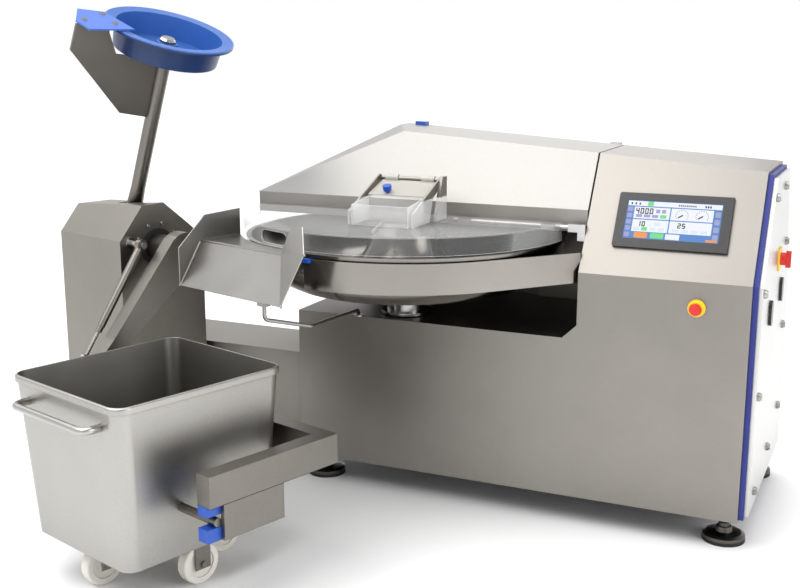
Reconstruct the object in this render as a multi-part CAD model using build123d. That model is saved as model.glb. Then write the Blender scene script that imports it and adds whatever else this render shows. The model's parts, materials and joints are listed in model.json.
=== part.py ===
from build123d import *
import os
from math import atan2, cos, degrees, hypot, radians, sin, sqrt, tan

os.makedirs("parts", exist_ok=True)

# ---------------------------------------------------------------- driving dimensions (mm)
SHEET = 3.0                 # housing sheet
RUN = 0.05                  # radial running clearance of shafts in their bearings
GAP = 0.3                   # gap between curved faces of different moving bodies
FLOOR = 0.0
BASE_Z = 110.0              # underside of the housings
DECK_Z = 703.0              # deck beside the cabinet
BASE_W = 1713.0             # width of the front panel
BASE_D = 900.0              # depth of the base
CAB_X = 1123.0              # left wall of the cabinet
SILL_Z = 943.0              # lower edge of the inclined front
FRONT_TILT = 58.3           # slope of the inclined front
ROOF_Z = 1300.0             # roof at the right end
ROOF_SLOPE = 0.0683         # the roof rises to the left
ROOF_BACK = 620.0
FOOT_X, FOOT_Y, FOOT_BACK = 58.0, 110.0, BASE_D - 80.0
FOOT_R = 75.0

BOWL_X, BOWL_Y = 404.0, 140.0
RIM_R, RIM_Z = 612.0, 1025.0
CHANNEL_R = 365.0           # radius of the middle of the bowl channel
BOWL_BOTTOM = 818.0
CONE_R, CONE_TOP_R, CONE_Z = 136.5, 97.0, 1060.0
NECK_R = 75.0
BOWL_SHAFT_R = 45.0

KNIFE_Y = BOWL_Y + CHANNEL_R
KNIFE_Z = 1062.0
KNIFE_R = 229.0
CHANNEL = KNIFE_R + 3.0     # section radius of the channel
KNIFE_SHAFT_R = 32.0
MOTOR_Y, MOTOR_Z = 450.0, 400.0
PULLEY_R = 90.0

COVER_R, COVER_Z = 628.0, 1100.0
COVER_T = 5.0
COVER_WALL_Z = 1035.0
COVER_BACK = 98.0
COVER_HINGE = (88.0, 1086.0)
COVER_SHAFT_R = 9.0
APRON_R, APRON_T = 616.0, 10.0
APRON_Z0, APRON_Z1 = 903.0, 1010.0

LID_X0, LID_X1 = -248.0, 1117.0
LID_Y0, LID_Y1 = 124.0, 620.0
LID_T = 4.0
LID_HINGE = (634.0, 1336.0)
LID_ROD_R = 8.0

GROUP_X, GROUP_Y, GROUP_YAW = -545.0, -392.0, -17.5   # loading side: origin and yaw
COL_W, COL_D = 405.0, 392.0
LOADER_Y, LOADER_Z, LOADER_R = 171.0, 954.0, 53.0
TUB_X, TUB_Y = 642.0, -349.0
TUB_L, TUB_W, TUB_Z0, TUB_Z1 = 594.0, 656.0, 160.0, 695.0
TUB_TAPER = 38.0
WHEEL_R, WHEEL_W = 70.0, 40.0
ROLLER_X = 181.0
CASTOR_FRONT, CASTOR_REAR = (597.0, -570.0), (687.0, -150.0)

UNL = (-675.0, -145.0, 1044.0)   # pivot of the unloader
UNL_LEAN, UNL_TILT = 20.7, 5.6
UNL_L = 788.0
DISC_R = 240.0

SHIFT = Location((-FOOT_X, -FOOT_Y, 0))
GROUP = Location((GROUP_X, GROUP_Y, 0), (0, 0, GROUP_YAW))
E_DIR = (cos(radians(GROUP_YAW)), sin(radians(GROUP_YAW)))


# ---------------------------------------------------------------- helpers
def poly(points, direction):
    face = Face(Wire.make_polygon([Vector(*p) for p in points], close=True))
    v = Vector(*direction)
    return extrude(face, amount=v.length, dir=v.normalized())


def px(yz, x0, x1):
    return poly([(x0, y, z) for y, z in yz], (x1 - x0, 0, 0))


def py(xz, y0, y1):
    return poly([(x, y0, z) for x, z in xz], (0, y1 - y0, 0))


def pz(xy, z0, z1):
    return poly([(x, y, z0) for x, y in xy], (0, 0, z1 - z0))


def box(x0, x1, y0, y1, z0, z1):
    return Pos((x0 + x1) / 2, (y0 + y1) / 2, (z0 + z1) / 2) * Box(x1 - x0, y1 - y0, z1 - z0)


def rod(p, q, r, r2=None):
    a, b = Vector(*p), Vector(*q)
    d = b - a
    h = d.length
    body = Cylinder(r, h) if r2 is None else Cone(r, r2, h)
    return Plane(origin=(a + b) * 0.5, z_dir=d.normalized()).location * body


def tube(p, q, ro, ri):
    a, b = Vector(*p), Vector(*q)
    d = (b - a).normalized()
    return rod(p, q, ro) - rod(tuple(a - d), tuple(b + d), ri)


def turned(points, x, y, arc=360.0, start=0.0):
    """Revolve a closed (r, z) polygon about the vertical line through x, y."""
    c, s = cos(radians(start)), sin(radians(start))
    face = Face(Wire.make_polygon([Vector(x + r * c, y + r * s, z) for r, z in points], close=True))
    return revolve(face, axis=Axis((x, y, 0), (0, 0, 1)), revolution_arc=arc)


def inset(points, t):
    """Convex polygon with every side moved inwards by t."""
    n = len(points)
    area = sum(points[i][0] * points[(i + 1) % n][1] - points[(i + 1) % n][0] * points[i][1] for i in range(n))
    sign = 1.0 if area > 0 else -1.0
    lines = []
    for i in range(n):
        (x0, y0), (x1, y1) = points[i], points[(i + 1) % n]
        length = hypot(x1 - x0, y1 - y0)
        nx, ny = -(y1 - y0) / length * sign, (x1 - x0) / length * sign
        lines.append((nx, ny, nx * x0 + ny * y0 + t))
    out = []
    for i in range(n):
        a0, b0, c0 = lines[i - 1]
        a1, b1, c1 = lines[i]
        det = a0 * b1 - a1 * b0
        out.append(((c0 * b1 - c1 * b0) / det, (a0 * c1 - a1 * c0) / det))
    return out


def plate(points, t):
    """Flat plate over 3-D points, laid into the plane of the first three and thickened by t."""
    a, b, c = [Vector(*p) for p in points[:3]]
    n = (b - a).cross(c - a).normalized()
    flat = []
    for p in points:
        v = Vector(*p)
        v = v - n * (v - a).dot(n)
        flat.append((v.X, v.Y, v.Z))
    n = n * t
    return poly(flat, (n.X, n.Y, n.Z))


def halfspace(points, t=0.0, size=4000.0):
    """Solid above the plane through three points (its normal side), moved by -t along the normal."""
    a, b, c = [Vector(*p) for p in points]
    n = (b - a).cross(c - a).normalized()
    return Plane(origin=a - n * t, z_dir=n).location * (Pos(0, 0, size / 2) * Box(size, size, size))


NODES = {}


def save(name, *shapes, at=None):
    for shape in shapes:
        moved = SHIFT * (at * shape) if at is not None else SHIFT * shape
        NODES.setdefault(name, []).append(moved)


def write_all():
    for name, shapes in NODES.items():
        body = shapes[0]
        for shape in shapes[1:]:
            body = body + shape
        solids = list(body.solids())
        out = solids[0] if len(solids) == 1 else Compound(solids)
        export_step(out, "parts/" + name + ".step")


# ---------------------------------------------------------------- base and cabinet
def roof_plane(t=0.0):
    z0 = ROOF_Z + BASE_W * ROOF_SLOPE
    return halfspace([(0, 0, z0), (BASE_W, 0, ROOF_Z), (0, 1000, z0)], t)


def front_y(z):
    return (z - SILL_Z) / tan(radians(FRONT_TILT))


REAR = [(BASE_D - 50.0, 740.0), (BASE_D, 500.0)]
HIGH = ROOF_Z + 60.0
CAB = [(0, DECK_Z), (0, SILL_Z), (front_y(HIGH), HIGH), (ROOF_BACK, HIGH), REAR[0], (BASE_D - 42.3, DECK_Z)]


def base():
    shell = box(0, BASE_W, 0, BASE_D, BASE_Z, DECK_Z)
    shell -= box(SHEET, BASE_W - SHEET, SHEET, BASE_D - SHEET, BASE_Z - 1, DECK_Z - SHEET)
    shell -= rod((BOWL_X, BOWL_Y, DECK_Z - 10), (BOWL_X, BOWL_Y, DECK_Z + 10), NECK_R + 5)
    shell -= box(1400, 1510, 320, 640, DECK_Z - 10, DECK_Z + 10)
    save("base_housing", shell)

    t = SHEET
    cab = px(CAB, CAB_X, BASE_W) - roof_plane()
    inner = px(inset(CAB, t), CAB_X + t, BASE_W - t) + px(
        [(t, DECK_Z - 1), (t, DECK_Z + 20), (BASE_D - 60, DECK_Z + 20), (BASE_D - 50, DECK_Z - 1)], CAB_X + t, BASE_W - t)
    cab -= inner - roof_plane(t)
    cab += py([(1071, DECK_Z), (CAB_X, DECK_Z), (CAB_X, DECK_Z + 50)], 0, 560)
    cab -= rod((CAB_X - 5, KNIFE_Y, KNIFE_Z), (CAB_X + 10, KNIFE_Y, KNIFE_Z), 65)
    save("cabinet_housing", cab)

    rails = []
    for y in (FOOT_Y, FOOT_BACK):
        rails.append(box(SHEET, BASE_W - SHEET, y - 30, y + 30, BASE_Z, BASE_Z + 50))
    for x0 in (25, 284, 464, 1080, 1260, BASE_W - 93):
        rails.append(box(x0, x0 + 60, FOOT_Y + 30, FOOT_BACK - 30, BASE_Z, BASE_Z + 50))
    for x0 in (284, 484):
        for y0 in (FOOT_Y - 20, FOOT_BACK - 20):
            rails.append(box(x0, x0 + 40, y0, y0 + 40, BASE_Z + 50, 400))
    rails.append(box(284, 524, SHEET, BASE_D - SHEET, 400, 420))
    frame = rails[0]
    for piece in rails[1:]:
        frame += piece
    save("inner_frames", frame)

    pads, dishes, stems = [], [], []
    for x in (FOOT_X, BASE_W - FOOT_X):
        for y in (FOOT_Y, FOOT_BACK):
            pads.append(rod((x, y, FLOOR), (x, y, 12), FOOT_R))
            dishes.append(turned([(0, 12), (FOOT_R - 1, 12), (FOOT_R - 1, 24), (62, 30), (30, 34), (26, 52),
                                  (0, 52)], x, y))
            stems.append(turned([(0, 52), (20, 52), (20, 66), (12, 66), (12, 96), (20, 96), (20, BASE_Z),
                                 (0, BASE_Z)], x, y))
    save("foot_pads", *pads)
    save("foot_plates", *dishes)
    save("foot_plates", *stems)


SIDE = [(0, BASE_Z), (0, SILL_Z), (front_y(ROOF_Z), ROOF_Z), (ROOF_BACK, ROOF_Z), REAR[0], REAR[1],
        (BASE_D, BASE_Z)]
SEAL_T, PANEL_T = 18.0, 14.0


def side():
    ring = px(inset(SIDE, 10), BASE_W, BASE_W + SEAL_T) - px(inset(SIDE, 46), BASE_W - 1, BASE_W + SEAL_T + 1)
    save("side_seal", ring)
    x0 = BASE_W + SEAL_T
    panel = px(inset(SIDE, 22), x0, x0 + PANEL_T)
    panel -= px(inset(SIDE, 27), x0 - 1, x0 + PANEL_T - 4)
    save("side_service_panel", panel)
    x1 = x0 + PANEL_T
    knobs = []
    for y, z in ((468, 1228), (232, 1212), (617, 1005), (50, 912), (690, 668), (71, 550), (720, 333), (452, 248),
                 (128, 190)):
        knobs.append(rod((x1, y, z), (x1 + 9, y, z), 15) + rod((x1 + 9, y, z), (x1 + 14, y, z), 11))
    save("panel_knobs", *knobs)
    grips = []
    for y, z in ((537, 836), (242, 807)):
        grips.append(box(x1, x1 + 10, y - 25, y + 25, z - 22, z + 22) + rod((x1, y, z + 20), (x1 + 10, y, z + 20), 25)
                     + rod((x1, y, z - 20), (x1 + 10, y, z - 20), 25))
    save("panel_knobs", *grips)

    y, z = 426, 969
    save("switch_plates", box(x1, x1 + 6, y - 33, y + 33, z - 40, z + 40))
    handle = rod((x1 + 6 + GAP, y, z), (x1 + 24, y, z), 23)
    handle += box(x1 + 24, x1 + 42, y - 8, y + 8, z - 30, z + 30)
    save("main_switch_handle", handle)


def panel_parts():
    n = (0, -sin(radians(FRONT_TILT)), cos(radians(FRONT_TILT)))
    face = Plane(origin=(0, 0, SILL_Z), x_dir=(1, 0, 0), z_dir=n).location
    bezel = box(1225, 1617, 106, 312, 0, 12) - box(1258, 1583, 139, 283, 8, 20)
    bezel = fillet(bezel.edges().filter_by(Axis.Z).group_by(Axis.X)[0], 8)
    save("display_bezel", bezel, at=face)
    save("display_screen", box(1258, 1583, 139, 283, 8, 11), at=face)
    x, z = 1536, 855
    collar = rod((x, 0, z), (x, -8, z), 30) + rod((x, -8, z), (x, -16, z), 26, 22)
    collar -= rod((x, 1, z), (x, -20, z), 12 + RUN)
    save("switch_plates", collar)
    save("e_stop_button", rod((x, -8, z), (x, -30, z), 12) + rod((x, -30, z), (x, -44, z), 21, 17))


# ---------------------------------------------------------------- bowl and its drive
def bowl():
    x, y = BOWL_X, BOWL_Y
    top = KNIFE_Z - RIM_Z
    r_in = CHANNEL_R + sqrt(CHANNEL ** 2 - top ** 2)
    z_low = KNIFE_Z - sqrt(CHANNEL ** 2 - (CHANNEL_R - CONE_R) ** 2)

    def pt(r, z):
        return Vector(x + r, y, z)

    def on(angle):
        return pt(CHANNEL_R + CHANNEL * cos(radians(angle)), KNIFE_Z + CHANNEL * sin(radians(angle)))

    zc = (BOWL_BOTTOM ** 2 - 1010.0 ** 2 - (606 - CHANNEL_R) ** 2) / (2 * (BOWL_BOTTOM - 1010.0))
    ro = zc - BOWL_BOTTOM
    mid = pt(CHANNEL_R + ro * cos(radians(-45)), zc + ro * sin(radians(-45)))
    pts = [pt(CONE_R, z_low), pt(CONE_TOP_R, CONE_Z), pt(0, CONE_Z), pt(0, BOWL_BOTTOM), pt(CHANNEL_R, BOWL_BOTTOM)]
    edges = [Edge.make_line(a, b) for a, b in zip(pts[:-1], pts[1:])]
    edges.append(Edge.make_three_point_arc(pts[-1], mid, pt(606, 1010)))
    edges.append(Edge.make_line(pt(606, 1010), pt(RIM_R, 1013)))
    edges.append(Edge.make_line(pt(RIM_R, 1013), pt(RIM_R, RIM_Z)))
    edges.append(Edge.make_line(pt(RIM_R, RIM_Z), pt(r_in, RIM_Z)))
    edges.append(Edge.make_three_point_arc(pt(r_in, RIM_Z), on(-90), pt(CONE_R, z_low)))
    body = revolve(Face(Wire(edges)), axis=Axis((x, y, 0), (0, 0, 1)))
    body -= rod((x, y, BOWL_BOTTOM - 1), (x, y, 1000), BOWL_SHAFT_R)
    body -= turned([(96, 794), (262, 794), (226, 850), (165, 905), (120, 985), (96, 1010)], x, y)
    save("bowl", body)
    z0 = DECK_Z + 6
    shaft = rod((x, y, 540), (x, y, 1000), BOWL_SHAFT_R) + rod((x, y, z0), (x, y, BOWL_BOTTOM), NECK_R)
    save("bowl_shaft", shaft)
    save("bowl_shaft", tube((x, y, DECK_Z + 4), (x, y, DECK_Z + 14), 98, NECK_R))
    box_ = box(x - 100, x + 100, y - 100, y + 100, 420, 640)
    box_ -= rod((x, y, 530), (x, y, 641), BOWL_SHAFT_R + 2)
    save("bowl_gearmotor", box_)
    save("shaft_bearings", tube((x, y, 640), (x, y, 690), 92, BOWL_SHAFT_R + RUN))
    motor = rod((x + 100, y, 520), (x + 130, y, 520), 90) + rod((x + 130, y, 520), (x + 420, y, 520), 78)
    save("bowl_gearmotor", motor)

    a0, a1 = 260.0, 320.0
    r0, r1 = APRON_R, APRON_R + APRON_T
    band = turned([(r0, APRON_Z0), (r1, APRON_Z0), (r1, APRON_Z1), (r0, APRON_Z1)], x, y, a1 - a0, a0)
    c, s = cos(radians(a1)), sin(radians(a1))
    run = (CAB_X - (x + r0 * c)) / -s
    run1 = (CAB_X - (x + r1 * c)) / -s
    band += pz([(x + r0 * c, y + r0 * s), (x + r1 * c, y + r1 * s), (CAB_X, y + r1 * s + run1 * c),
                (CAB_X, y + r0 * s + run * c)], APRON_Z0, APRON_Z1)
    save("bowl_apron", band)
    c, s = cos(radians(a0 + 1.6)), sin(radians(a0 + 1.6))
    bump = Location((x + (r1 + 8.5) * c, y + (r1 + 8.5) * s, APRON_Z1 - 5), (0, 0, a0 + 1.6)) * Box(16, 26, 14)
    save("band_bumper", bump - rod((x, y, 900), (x, y, 1100), r1))


def knives():
    y, z = KNIFE_Y, KNIFE_Z
    x_bear = 938.0

    def along(x0, x1, r, r2=None):
        return rod((x0, y, z), (x1, y, z), r, r2)

    housing = along(x_bear, 1400, 65) + along(CAB_X + SHEET, CAB_X + SHEET + 15, 95)
    housing += box(1180, 1340, y - 50, y + 50, DECK_Z, z)
    housing -= along(x_bear - 1, 1401, 50)
    save("knife_bearing_housing", housing)
    bearings = []
    for x0 in (942, 1350):
        bearings.append(tube((x0, y, z), (x0 + 40, y, z), 50, KNIFE_SHAFT_R + RUN))
    save("shaft_bearings", *bearings)
    save("knife_shaft", along(318, 1480, KNIFE_SHAFT_R))
    hub = along(340, 464, 52) - along(339, 465, KNIFE_SHAFT_R)
    hub_blades = []
    step = 20.0
    for i in range(6):
        x0 = 344 + i * step
        turn = i * 60.0
        tip = []
        for k in range(9):
            a = radians(turn + k * 14)
            tip.append((y + KNIFE_R * cos(a), z + KNIFE_R * sin(a)))
        for k in range(6, -1, -1):
            a = radians(turn + k * 17 - 14)
            r = 58 + (KNIFE_R - 75) * (1 - k / 6.0) ** 1.3
            tip.append((y + r * cos(a), z + r * sin(a)))
        blade = px(tip, x0, x0 + 6)
        hub_blades.append((blade + along(x0, x0 + 6, 76)) - along(x0 - 1, x0 + 7, 52))
    save("knife_shaft", hub)
    save("knives", *hub_blades)
    save("knife_shaft", along(300, 340, 48) - along(318, 341, KNIFE_SHAFT_R))
    save("knife_shaft", tube((1420, y, z), (1480, y, z), PULLEY_R, KNIFE_SHAFT_R))
    motor = rod((1010, MOTOR_Y, MOTOR_Z), (1390, MOTOR_Y, MOTOR_Z), 130)
    motor += box(1050, 1350, MOTOR_Y - 110, MOTOR_Y + 110, BASE_Z + 50, MOTOR_Z)
    motor -= rod((1340, MOTOR_Y, MOTOR_Z), (1391, MOTOR_Y, MOTOR_Z), 24 + RUN)
    save("knife_motor", motor)
    pulley = rod((1345, MOTOR_Y, MOTOR_Z), (1480, MOTOR_Y, MOTOR_Z), 24)
    pulley += rod((1420, MOTOR_Y, MOTOR_Z), (1480, MOTOR_Y, MOTOR_Z), PULLEY_R)
    save("motor_pulley", pulley)
    ang = atan2(z - MOTOR_Z, y - MOTOR_Y)
    nx, nz = -sin(ang), cos(ang)

    def loop(r):
        quad = px([(y + nx * r, z + nz * r), (y - nx * r, z - nz * r), (MOTOR_Y - nx * r, MOTOR_Z - nz * r),
                   (MOTOR_Y + nx * r, MOTOR_Z + nz * r)], 1425, 1475)
        return quad + rod((1425, y, z), (1475, y, z), r) + rod((1425, MOTOR_Y, MOTOR_Z), (1475, MOTOR_Y, MOTOR_Z), r)

    save("drive_belt", loop(PULLEY_R + 9) - loop(PULLEY_R + GAP))


# ---------------------------------------------------------------- knife lid
def lid_top(x):
    return 1394.0 - 0.0673 * (x - 329.0)


def lid():
    a = (LID_X0, LID_Y0, 1145.0)
    a2 = (LID_X1, LID_Y0, 1145.0)
    b = (329.0, 278.0, lid_top(329.0))
    c = (206.0, 520.0, lid_top(206.0))
    l0 = (LID_X0, LID_Y1, 1145.0)
    cuts = [[a, a2, b], [(0, 0, lid_top(0)), (1000, 0, lid_top(1000)), (0, 1000, lid_top(0))], [a, b, c], [a, c, l0]]

    def hull(t, z0):
        body = box(LID_X0 + t, LID_X1 - t, LID_Y0 + t, LID_Y1 - t, z0, 1450)
        for pts in cuts:
            body -= halfspace(pts, t)
        return body

    shell = hull(0, 1145) - hull(LID_T, 1100)
    shell -= box(LID_X0 - 1, LID_X1 + 1, LID_Y1 - 30, LID_Y1 + 1, 1100, 1290)
    shell += box(LID_X0 + 6, LID_X1, LID_Y0, LID_Y0 + LID_T, 1067, 1147)
    save("knife_lid", shell)

    y, z = LID_HINGE
    knuckles, stands = [], []
    for x0 in (420, 1000):
        knuckles.append((box(x0, x0 + 60, LID_Y1, y, z - 8, z + 8) + rod((x0, y, z), (x0 + 60, y, z), 13))
                        - rod((x0 - 1, y, z), (x0 + 61, y, z), LID_ROD_R))
    save("lid_hinge", *knuckles)
    save("lid_hinge", rod((370, y, z), (1110, y, z), LID_ROD_R))
    for x0 in (375, 700, 1065):
        stands.append((box(x0, x0 + 40, y + 6, y + 46, 1303, z) + rod((x0, y, z), (x0 + 40, y, z), 13)
                       + box(x0, x0 + 40, y - 0, y + 46, z - 14, z))
                      - rod((x0 - 1, y, z), (x0 + 41, y, z), LID_ROD_R + RUN))
    save("rear_housing", *stands)
    cap_z = lid_top(276)
    save("lid_stop_cap", py([(253, cap_z), (298, cap_z - 2.9), (298, cap_z + 14), (253, cap_z + 16)], 562, 602)
         - halfspace([(0, 0, lid_top(0)), (0, 1000, lid_top(0)), (1000, 0, lid_top(1000))], 0))
    rear = py([(0, DECK_Z), (CAB_X, DECK_Z), (CAB_X, 1303), (350, 1303), (0, 1140)], 640, BASE_D)
    hollow = py([(3, DECK_Z - 1), (CAB_X - 3, DECK_Z - 1), (CAB_X - 3, 1300), (351, 1300), (3, 1138)], 643,
                BASE_D - 3)
    pocket = rod((BOWL_X, BOWL_Y, 700), (BOWL_X, BOWL_Y, 1050), RIM_R + 14)
    liner = rod((BOWL_X, BOWL_Y, 700), (BOWL_X, BOWL_Y, 1053), RIM_R + 17)
    body = (rear - hollow) + (liner & rear)
    body += rod((296, KNIFE_Y, KNIFE_Z), (524, KNIFE_Y, KNIFE_Z), KNIFE_R + 17) & rear
    body -= rod((299, KNIFE_Y, KNIFE_Z), (521, KNIFE_Y, KNIFE_Z), KNIFE_R + 14)
    body -= pocket
    body -= px([(BASE_D + 1, 1400), (620, 1400), (620, 1310), (700, 1304), (BASE_D + 1, 1180)], -10, 1200)
    save("rear_housing", body)


# ---------------------------------------------------------------- bowl cover and hopper
def cover():
    x, y = BOWL_X, BOWL_Y
    keep = box(x - 700, x + 700, y - 700, COVER_BACK, 1000, 1200)
    sheet = rod((x, y, COVER_Z - COVER_T), (x, y, COVER_Z), COVER_R)
    wall = tube((x, y, COVER_WALL_Z), (x, y, COVER_Z - COVER_T), COVER_R, COVER_R - COVER_T)
    body = (sheet + wall) & keep
    a = 246.0
    c, s = cos(radians(a)), sin(radians(a))
    cut = Location((x + COVER_R * c, y + COVER_R * s, 1066), (0, 0, a)) * (
        Rot(0, 90, 0) * extrude(SlotOverall(150, 44, rotation=90), amount=40, both=True))
    body -= cut
    hy, hz = COVER_HINGE
    body -= rod((900, hy, hz), (1100, hy, hz), COVER_SHAFT_R)
    save("bowl_cover", body)
    save("cover_hinge", rod((620, hy, hz), (1122, hy, hz), COVER_SHAFT_R))
    clamps = []
    for x0 in (640, 960):
        clamps.append(box(x0, x0 + 50, hy - 14, hy + 9, hz - 13, COVER_Z - COVER_T)
                      - rod((x0 - 1, hy, hz), (x0 + 51, hy, hz), COVER_SHAFT_R))
    save("cover_hinge", *clamps)
    block = box(1060, CAB_X, hy - 16, hy + 12, hz - 14, hz + 14)
    block += box(1095, CAB_X, hy - 16, 140, hz - 44, hz - 28) + box(1095, CAB_X, hy - 16, hy + 12, hz - 44, hz - 14)
    block -= rod((1059, hy, hz), (CAB_X + 1, hy, hz), COVER_SHAFT_R + RUN)
    save("shaft_bearings", block)

    hop = px([(-254, COVER_Z), (-254, 1172), (-110, 1188), (-110, COVER_Z)], 365, 585)
    hop -= px([(-250, COVER_Z - 1), (-250, 1200), (-114, 1200), (-114, COVER_Z - 1)], 369, 581)
    hop += box(359, 365, -254, -110, 1150, 1156) + box(585, 591, -254, -110, 1150, 1156)
    save("hopper_box", hop)
    arms = []
    for x0 in (349, 595):
        arm = px([(-250, COVER_Z), (-250, 1148), (8, 1254), (30, 1246), (30, 1228), (-70, 1186), (-105, COVER_Z)],
                 x0, x0 + 6)
        arms.append(arm - rod((x0 - 1, 20, 1240), (x0 + 7, 20, 1240), 8))
    save("hopper_frame", *arms)
    save("hopper_frame", px([(-60, COVER_Z), (-60, 1130), (-10, 1254), (30, 1254), (30, COVER_Z)], 601, 613))
    save("hopper_frame", rod((340, 20, 1240), (601, 20, 1240), 8))
    flap = px([(10, 1232), (12, 1228), (-112, 1189.5), (-113, 1193.5)], 363, 587)
    for x0 in (375, 520):
        flap += rod((x0, 20, 1240), (x0 + 50, 20, 1240), 13)
    flap -= rod((340, 20, 1240), (600, 20, 1240), 8 + RUN)
    save("hopper_flap", flap)
    up = Vector(0, -38.5, 123).normalized()
    base_ = Vector(433, -94, 1232 - 104 * 38.5 / 123)
    knob = rod(tuple(base_), tuple(base_ + up * 8), 8) + rod(tuple(base_ + up * 8), tuple(base_ + up * 28), 15, 17)
    save("hopper_knob", knob)


# ---------------------------------------------------------------- column and loader (loading-side frame)
COL = [(0, BASE_Z), (0, 994), (106, 1121), (207, 1125), (321, 1032), (COL_D, 972), (COL_D, BASE_Z)]


def column():
    t = SHEET
    tilt = [(-COL_W, 0, 1098), (0, 0, 1126), (-COL_W, 1000, 1098)]
    body = px(COL, -COL_W, 0) - halfspace(tilt)
    inner = px(inset(COL, t), -COL_W + t, -t) + px([(t, BASE_Z - 1), (t, 200), (COL_D - t, 200),
                                                     (COL_D - t, BASE_Z - 1)], -COL_W + t, -t)
    body -= inner - halfspace(tilt, t)
    body -= rod((-10, LOADER_Y, LOADER_Z), (10, LOADER_Y, LOADER_Z), 56)
    slot = box(UNL[0] - 24, UNL[0] + 176, UNL[1] - 58, UNL[1] + 42, 1030, 1300)
    body -= GROUP.inverse() * slot
    save("column_housing", body, at=GROUP)

    frame = box(-COL_W + t, -t, t, COL_D - t, BASE_Z, BASE_Z + 40) - box(-COL_W + 50, -50, 50, COL_D - 50, 100, 200)
    for x0 in (-COL_W + t, -58):
        for y0 in (t, COL_D - t - 30):
            frame += box(x0, x0 + 30, y0, y0 + 30, BASE_Z + 40, 925)
    frame += box(-COL_W + t, -140, t, COL_D - t, 925, 940)
    frame += box(-58, -44, t, COL_D - t, 800, 925) + box(-58, -44, 74, 280, 925, 1046)
    frame -= rod((-60, LOADER_Y, LOADER_Z), (-40, LOADER_Y, LOADER_Z), LOADER_R + 2)
    save("inner_frames", frame, at=GROUP)
    feet = []
    for x in (-COL_W + 26, -26):
        for y in (26, COL_D - 26):
            feet.append(rod((x, y, 0), (x, y, 30), 24) + rod((x, y, 30), (x, y, BASE_Z), 14))
    save("inner_frames", *feet, at=GROUP)
    y, z = LOADER_Y, LOADER_Z
    save("shaft_bearings", tube((-44, y, z), (-t, y, z), 78, LOADER_R + RUN), at=GROUP)
    gear = box(-134, -58, y - 60, y + 60, z - 74, z + 60) + rod((-110, y, 560), (-110, y, z - 74), 48)
    gear -= rod((-110, y, z), (-50, y, z), LOADER_R + 2)
    save("column_gearmotors", gear, at=GROUP)
    save("column_seal_ring", tube((0, y, z), (7, y, z), 74, LOADER_R + 3), at=GROUP)
    screws = []
    for k in range(9):
        a = radians(34 + 40 * k)
        p = (y + 95 * cos(a), z + 95 * sin(a))
        screws.append(rod((0, *p), (5, *p), 8, 6))
    save("ring_screws", *screws, at=GROUP)
    save("ring_screws", rod((0, *STUD), (96, *STUD), 12) + rod((0, *STUD), (12, *STUD), 22), at=GROUP)

    drive = box(UNL[0] - 40, UNL[0] + 36, UNL[1] - 62, UNL[1] + 62, 940, 1004)
    save("column_gearmotors", drive)
    blocks = []
    for y0 in (UNL[1] - 60, UNL[1] + 40):
        blocks.append((box(UNL[0] - 30, UNL[0] + 30, y0, y0 + 20, 1004, UNL[2])
                       + rod((UNL[0], y0, UNL[2]), (UNL[0], y0 + 20, UNL[2]), 30))
                      - rod((UNL[0], y0 - 1, UNL[2]), (UNL[0], y0 + 21, UNL[2]), 18 + RUN))
    save("shaft_bearings", *blocks)

    slope = -E_DIR[1] / E_DIR[0]
    c0 = GROUP * Pos(0, COL_D, 0)
    cx, cy = c0.position.X, c0.position.Y
    y0 = 20.0
    xa = cx - (y0 - cy) / slope
    xb = -700.0
    duct = pz([(0, y0), (xa, y0), (xb, cy + (cx - xb) * slope), (xb, 340), (0, 340)], BASE_Z, 525)
    duct -= pz([(-SHEET, y0 + SHEET), (xa + 12, y0 + SHEET), (xb + SHEET, cy + (cx - xb) * slope + 4),
                (xb + SHEET, 340 - SHEET), (-SHEET, 340 - SHEET)], BASE_Z - 1, 525 - SHEET)
    save("connecting_duct", duct)


STUD = (42.0, 986.0)
PIN = (-227.0, 600.0)
PIN_X = 75.0
ARM_X0, ARM_X1 = 120.0, 180.0
FORK_BACK = 69.0            # from the back of the tub to the back of the fork
FORK_Y0, FORK_Y1, FORK_Z0, FORK_Z1 = -482.0, TUB_Y + TUB_W / 2 + FORK_BACK, 380.0, 480.0
FORK_L, FORK_R = 240.0, 1045.0
FORK_T = 60.0
PINS_Y, PINS_Z, PINS_R = -440.0, 322.0, 14.0


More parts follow.
